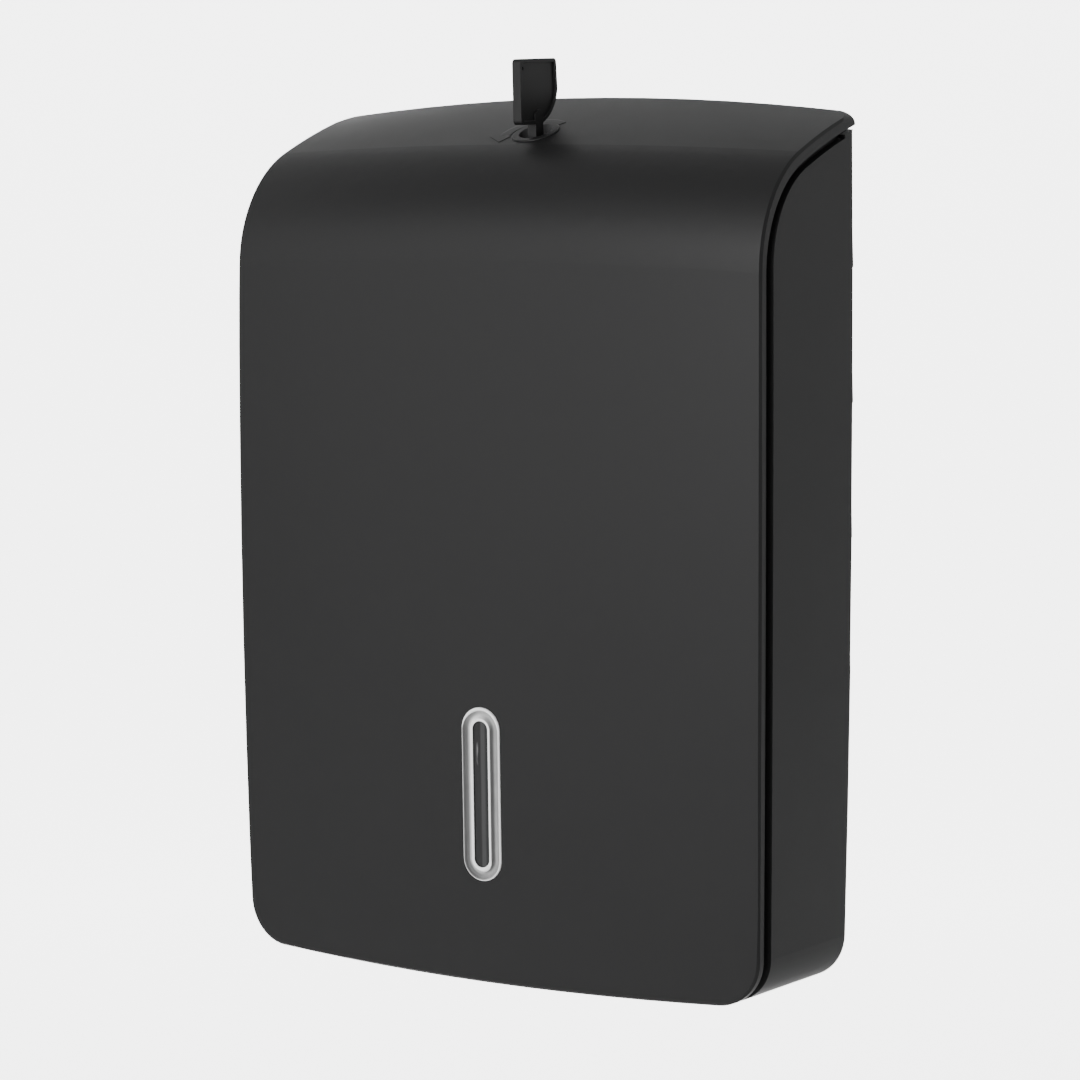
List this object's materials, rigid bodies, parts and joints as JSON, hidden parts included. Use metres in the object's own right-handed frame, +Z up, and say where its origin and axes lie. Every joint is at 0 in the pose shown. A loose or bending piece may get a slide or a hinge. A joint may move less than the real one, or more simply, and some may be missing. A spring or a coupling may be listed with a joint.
{
  "type": "folded paper towel dispenser",
  "caption": "Wall-mounted folded paper towel dispenser: crowned drop-front cover hinged at the foot, level window, and a key in a lock on the sloping roof.",
  "frame": {"origin": "centre of the four wall-screw holes, on the back face of the housing, which lies on the wall", "axes": "+Z up the wall; -Y out of the wall into the room, towards the front cover; +X to the right as seen from the room"},
  "size_m": [0.268, 0.0854, 0.3948],
  "materials": {
    "cover_plastic": "fine satin black moulding",
    "housing_plastic": "fine satin black moulding",
    "tray_plastic": "satin black moulding",
    "guide_plastic": "satin dark grey moulding",
    "frame_plastic": "satin black moulding",
    "bezel_white": "bright silver-white gloss",
    "pane_smoke": "smoked clear plastic, glossy",
    "lock_black": "satin black",
    "plug_black": "satin black",
    "key_plastic": "satin black moulding",
    "nut_steel": "zinc plated",
    "cam_steel": "zinc plated",
    "keeper_steel": "zinc plated",
    "pin_steel": "bright steel",
    "screw_steel": "zinc plated"
  },
  "bodies": {
    "housing": {"rear_housing": "housing_plastic", "towel_guide_left": "guide_plastic", "towel_guide_right": "guide_plastic", "guide_screws": "screw_steel", "outlet_tray": "tray_plastic", "tray_screws": "screw_steel", "latch_keeper": "keeper_steel", "keeper_screws": "screw_steel", "hinge_pin_left": "pin_steel", "hinge_pin_right": "pin_steel", "hinge_clips": "pin_steel"},
    "cover": {"front_cover": "cover_plastic", "window_bezel": "bezel_white", "window_pane": "pane_smoke", "window_frame": "frame_plastic", "window_screws": "screw_steel", "lock_body": "lock_black", "lock_nut": "nut_steel"},
    "plug": {"lock_plug": "plug_black", "lock_cam": "cam_steel", "cam_washer": "screw_steel", "cam_screw": "screw_steel"},
    "key": {"key": "key_plastic"}
  },
  "joints": [
    {"name": "cover_hinge", "type": "hinge", "parent": "housing", "child": "cover", "pos_m": [0, -0.057, -0.177], "axis": [1, 0, 0], "range_deg": [0, 100]},
    {"name": "lock_turn", "type": "hinge", "parent": "cover", "child": "plug", "pos_m": [0, -0.0415, 0.17412], "axis": [0, -0.0436, 0.999], "range_deg": [-90, 0]},
    {"name": "key_pull", "type": "slide", "parent": "plug", "child": "key", "axis": [0, -0.0436, 0.999], "range_m": [0, 0.022]}
  ]
}
